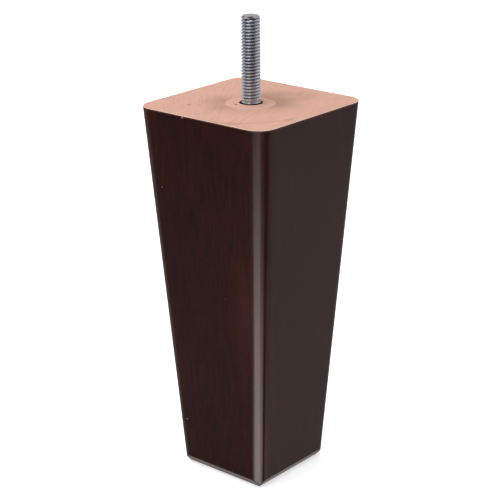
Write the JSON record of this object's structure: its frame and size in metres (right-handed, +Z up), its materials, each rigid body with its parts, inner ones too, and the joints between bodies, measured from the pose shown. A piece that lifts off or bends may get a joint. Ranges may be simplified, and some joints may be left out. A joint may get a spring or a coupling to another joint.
{
  "type": "tapered furniture foot",
  "caption": "Square tapered hardwood furniture foot, dark lacquered with a bare end-grain top, carrying a hanger bolt whose machine thread screws up into the frame of a sofa or cabinet.",
  "frame": {"origin": "centre of the base face that stands on the floor", "axes": "+Z up along the foot towards the tip of its threaded stud, X and Y square to the tapering faces"},
  "size_m": [0.065, 0.065, 0.1908],
  "materials": {
    "lacquered_hardwood": "dark brown satin lacquer on the sides, bevels and base, bare end grain on the top",
    "zinc_plated_steel": "bright zinc plating"
  },
  "bodies": {
    "root": {"foot_body": "lacquered_hardwood", "hanger_bolt": "zinc_plated_steel"}
  },
  "joints": []
}
